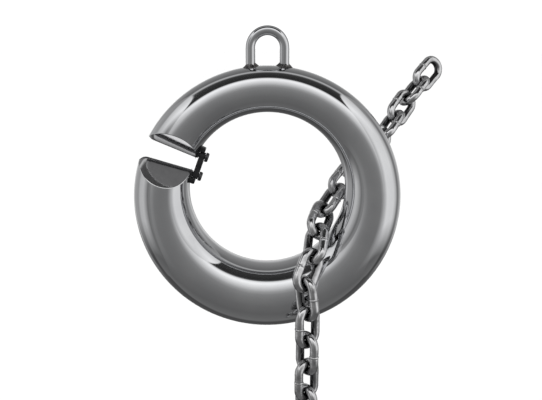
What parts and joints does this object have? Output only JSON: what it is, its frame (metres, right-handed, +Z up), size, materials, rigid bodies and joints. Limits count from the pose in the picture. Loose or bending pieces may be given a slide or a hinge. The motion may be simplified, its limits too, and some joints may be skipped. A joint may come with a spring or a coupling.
{
  "type": "anchor chain retrieval ring",
  "caption": "Hollow polished steel ring with a lifting eye and a side slot closed by a rubber strap, riding on a length of anchor chain that threads its hole.",
  "frame": {"origin": "the point under the crown of the bail where a hook or line bears", "axes": "+Z up along the bail, +X to the right as seen from the front, +Y from the front towards the back; the ring lies in the XZ plane"},
  "size_m": [0.363, 0.2229, 0.4277],
  "materials": {
    "polished_steel": "mirror-polished stainless steel",
    "inner_steel": "plain mill finish, inside the tube",
    "chain_steel": "tumbled and polished stainless steel",
    "screw_steel": "plain machined steel",
    "black_coated_steel": "satin black coating",
    "black_rubber": "matt black moulded rubber"
  },
  "bodies": {
    "ring": {"front_shell": "polished_steel", "rear_shell": "polished_steel", "upper_end_front_plate": "polished_steel", "upper_end_rear_plate": "polished_steel", "lower_end_front_plate": "polished_steel", "lower_end_rear_plate": "polished_steel", "bail": "polished_steel", "bail_weld_left": "polished_steel", "bail_weld_right": "polished_steel", "bail_backing_plate": "inner_steel", "upper_keeper_lug": "black_coated_steel", "lower_keeper_lug": "black_coated_steel", "upper_keeper_screw": "screw_steel", "lower_keeper_screw": "screw_steel"},
    "keeper": {"keeper_strap": "black_rubber"},
    "link_01": {"link_01": "chain_steel"},
    "link_02": {"link_02": "chain_steel"},
    "link_03": {"link_03": "chain_steel"},
    "link_04": {"link_04": "chain_steel"},
    "link_05": {"link_05": "chain_steel"},
    "link_06": {"link_06": "chain_steel"},
    "link_07": {"link_07": "chain_steel"},
    "link_08": {"link_08": "chain_steel"},
    "link_09": {"link_09": "chain_steel"},
    "link_10": {"link_10": "chain_steel"},
    "link_11": {"link_11": "chain_steel"},
    "link_12": {"link_12": "chain_steel"},
    "link_13": {"link_13": "chain_steel"},
    "link_14": {"link_14": "chain_steel"},
    "link_15": {"link_15": "chain_steel"},
    "link_16": {"link_16": "chain_steel"}
  },
  "joints": [
    {"name": "chain_seat", "type": "hinge", "parent": "ring", "child": "link_11", "pos_m": [0.05928, 0, -0.26558], "axis": [-0.8387, 0, -0.5446], "range_deg": [0, 10]},
    {"name": "link_12_swing", "type": "hinge", "parent": "link_11", "child": "link_12", "pos_m": [0.03459, -0.05324, -0.25546], "axis": [-0.7066, -0.4097, 0.577], "range_deg": [0, 30]},
    {"name": "link_13_swing", "type": "hinge", "parent": "link_12", "child": "link_13", "pos_m": [0.04301, -0.05467, -0.28792], "axis": [-0.6043, 0.7735, -0.1908], "range_deg": [-5, 30]},
    {"name": "link_14_swing", "type": "hinge", "parent": "link_13", "child": "link_14", "pos_m": [0.04186, -0.05319, -0.3193], "axis": [-0.788, -0.6157, 0], "range_deg": [-10, 30]},
    {"name": "link_15_swing", "type": "hinge", "parent": "link_14", "child": "link_15", "pos_m": [0.04186, -0.05319, -0.3505], "axis": [-0.6157, 0.788, 0], "range_deg": [-20, 30]},
    {"name": "link_16_swing", "type": "hinge", "parent": "link_15", "child": "link_16", "pos_m": [0.04186, -0.05319, -0.3817], "axis": [-0.788, -0.6157, 0], "range_deg": [-30, 30]},
    {"name": "link_10_lean", "type": "hinge", "parent": "link_11", "child": "link_10", "pos_m": [0.04968, -0.03342, -0.2229], "axis": [-0.7066, -0.4097, 0.577], "range_deg": [0, 15]},
    {"name": "link_09_lean", "type": "hinge", "parent": "link_10", "child": "link_09", "pos_m": [0.05402, -0.01099, -0.20165], "axis": [-0.6938, 0.5615, -0.4509], "range_deg": [-15, 0]},
    {"name": "link_08_lean", "type": "hinge", "parent": "link_09", "child": "link_08", "pos_m": [0.06462, 0.0142, -0.1866], "axis": [-0.635, -0.1816, 0.7509], "range_deg": [0, 15]},
    {"name": "link_07_lean", "type": "hinge", "parent": "link_08", "child": "link_07", "pos_m": [0.08109, 0.03317, -0.16809], "axis": [-0.5642, 0.773, -0.2901], "range_deg": [-10, 15]},
    {"name": "link_06_lean", "type": "hinge", "parent": "link_07", "child": "link_06", "pos_m": [0.0989, 0.05248, -0.15125], "axis": [-0.5966, -0.1388, 0.7904], "range_deg": [-10, 20]},
    {"name": "link_05_lean", "type": "hinge", "parent": "link_06", "child": "link_05", "pos_m": [0.11949, 0.06731, -0.13311], "axis": [-0.4565, 0.8688, -0.192], "range_deg": [-15, 20]},
    {"name": "link_04_lean", "type": "hinge", "parent": "link_05", "child": "link_04", "pos_m": [0.13908, 0.0819, -0.11369], "axis": [-0.6303, -0.1635, 0.7589], "range_deg": [-15, 20]},
    {"name": "link_03_lean", "type": "hinge", "parent": "link_04", "child": "link_03", "pos_m": [0.1562, 0.10054, -0.09545], "axis": [-0.5491, 0.7849, -0.287], "range_deg": [-15, 20]},
    {"name": "link_02_lean", "type": "hinge", "parent": "link_03", "child": "link_02", "pos_m": [0.17333, 0.11919, -0.07722], "axis": [-0.6303, -0.1635, 0.7589], "range_deg": [-15, 20]},
    {"name": "link_01_lean", "type": "hinge", "parent": "link_02", "child": "link_01", "pos_m": [0.19214, 0.13517, -0.05814], "axis": [-0.4887, 0.8431, -0.2243], "range_deg": [-20, 20]},
    {"name": "keeper_swing", "type": "hinge", "parent": "ring", "child": "keeper", "pos_m": [-0.06953, 0, -0.12528], "axis": [-0.9397, 0, 0.342], "range_deg": [0, 90]}
  ]
}
